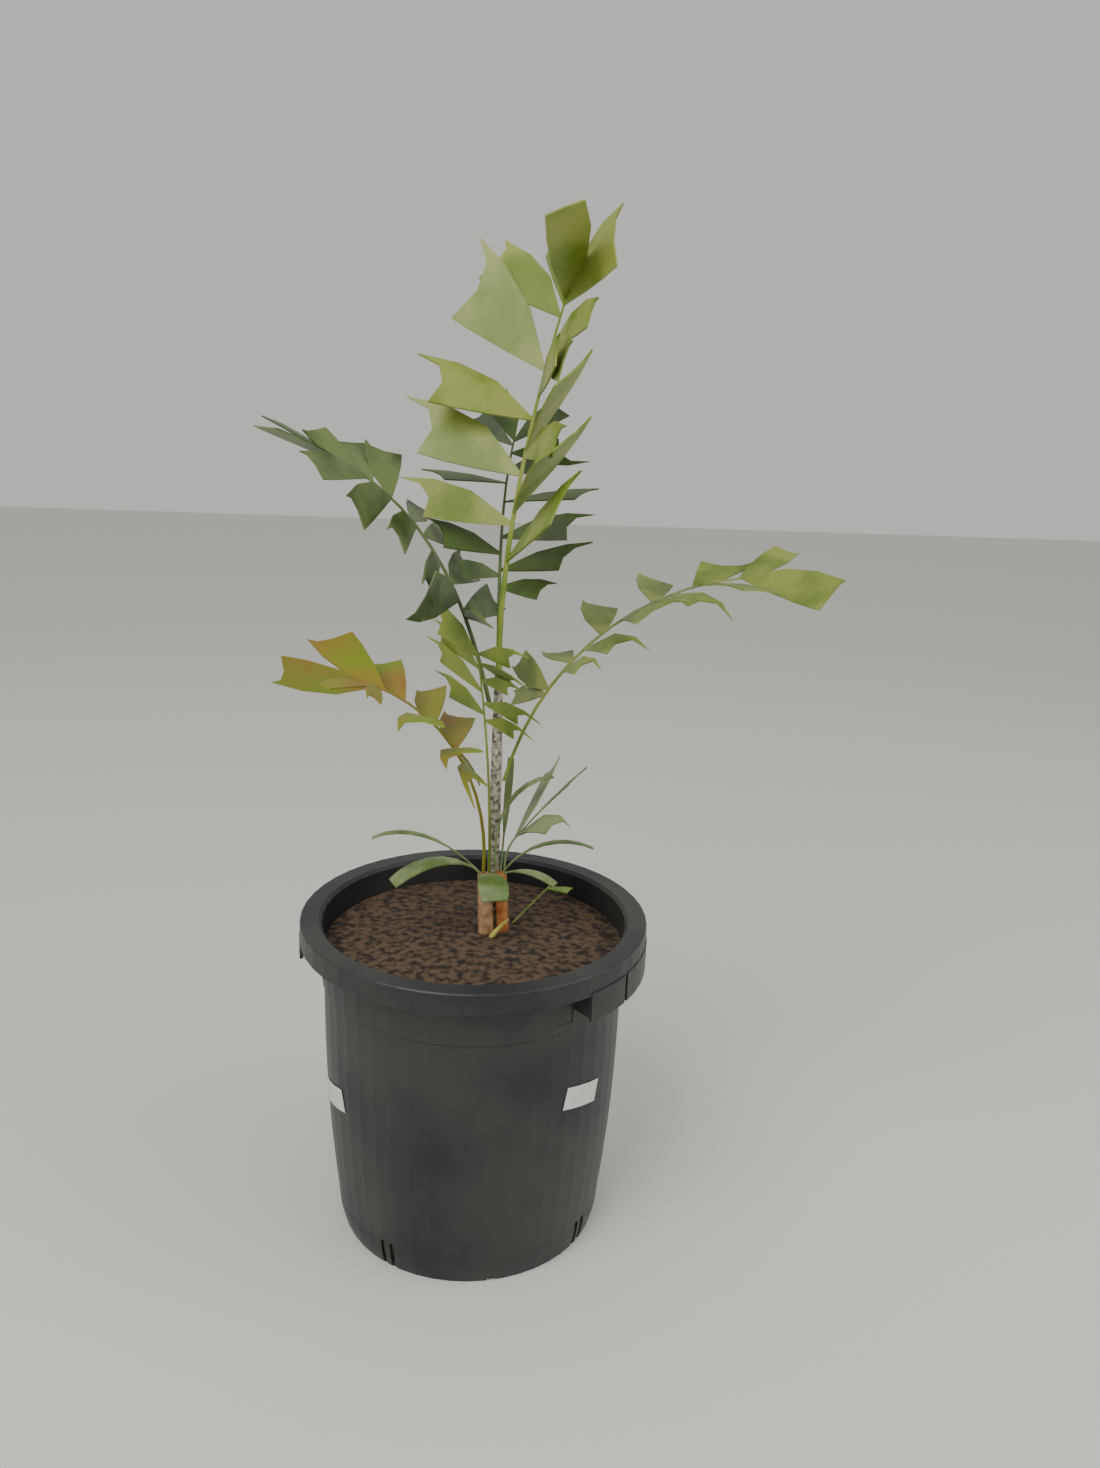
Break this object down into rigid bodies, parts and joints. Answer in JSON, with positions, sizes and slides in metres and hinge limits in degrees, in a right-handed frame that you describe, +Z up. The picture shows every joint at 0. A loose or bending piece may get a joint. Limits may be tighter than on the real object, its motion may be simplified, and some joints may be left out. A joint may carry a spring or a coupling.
{
  "type": "potted cuneate-leaved palm",
  "caption": "Young clumping palm with wedge-shaped, ragged leaflets on arching fronds, standing in a black nursery pot filled with potting mix.",
  "frame": {"origin": "centre of the pot's flat underside", "axes": "+Z up, the pictured front towards -Y, +X to the right as seen from that front"},
  "size_m": [0.4602, 0.3455, 0.8607],
  "materials": {
    "pot_plastic": "satin, scuffed",
    "potting_mix": "damp, crumbly",
    "label_paper": "matt, blank",
    "stem_bark": "smooth, speckled with dark scurf",
    "sheath": "dry, papery",
    "leaf_bright": "satin leaf",
    "leaf_dark": "satin leaf",
    "leaf_yellowed": "satin leaf with brown tips"
  },
  "bodies": {
    "root": {"pot": "pot_plastic", "soil": "potting_mix", "label_right": "label_paper", "label_left": "label_paper", "stem_main": "stem_bark", "stem_front": "sheath", "stem_right": "sheath", "frond_top": "leaf_bright", "frond_back": "leaf_dark", "frond_left": "leaf_dark", "frond_low_left": "leaf_yellowed", "frond_right": "leaf_bright", "frond_thin": "leaf_bright", "leaf_arching_left": "leaf_bright", "leaf_broad_left": "leaf_bright", "leaf_broad_front": "leaf_bright", "leaf_front_right": "leaf_bright", "leaf_back_right": "leaf_dark", "leaf_palmate_right": "leaf_dark", "leaf_arching_right": "leaf_bright", "leaf_upright": "leaf_dark", "new_shoot": "leaf_yellowed", "seedling": "leaf_yellowed"}
  },
  "joints": []
}
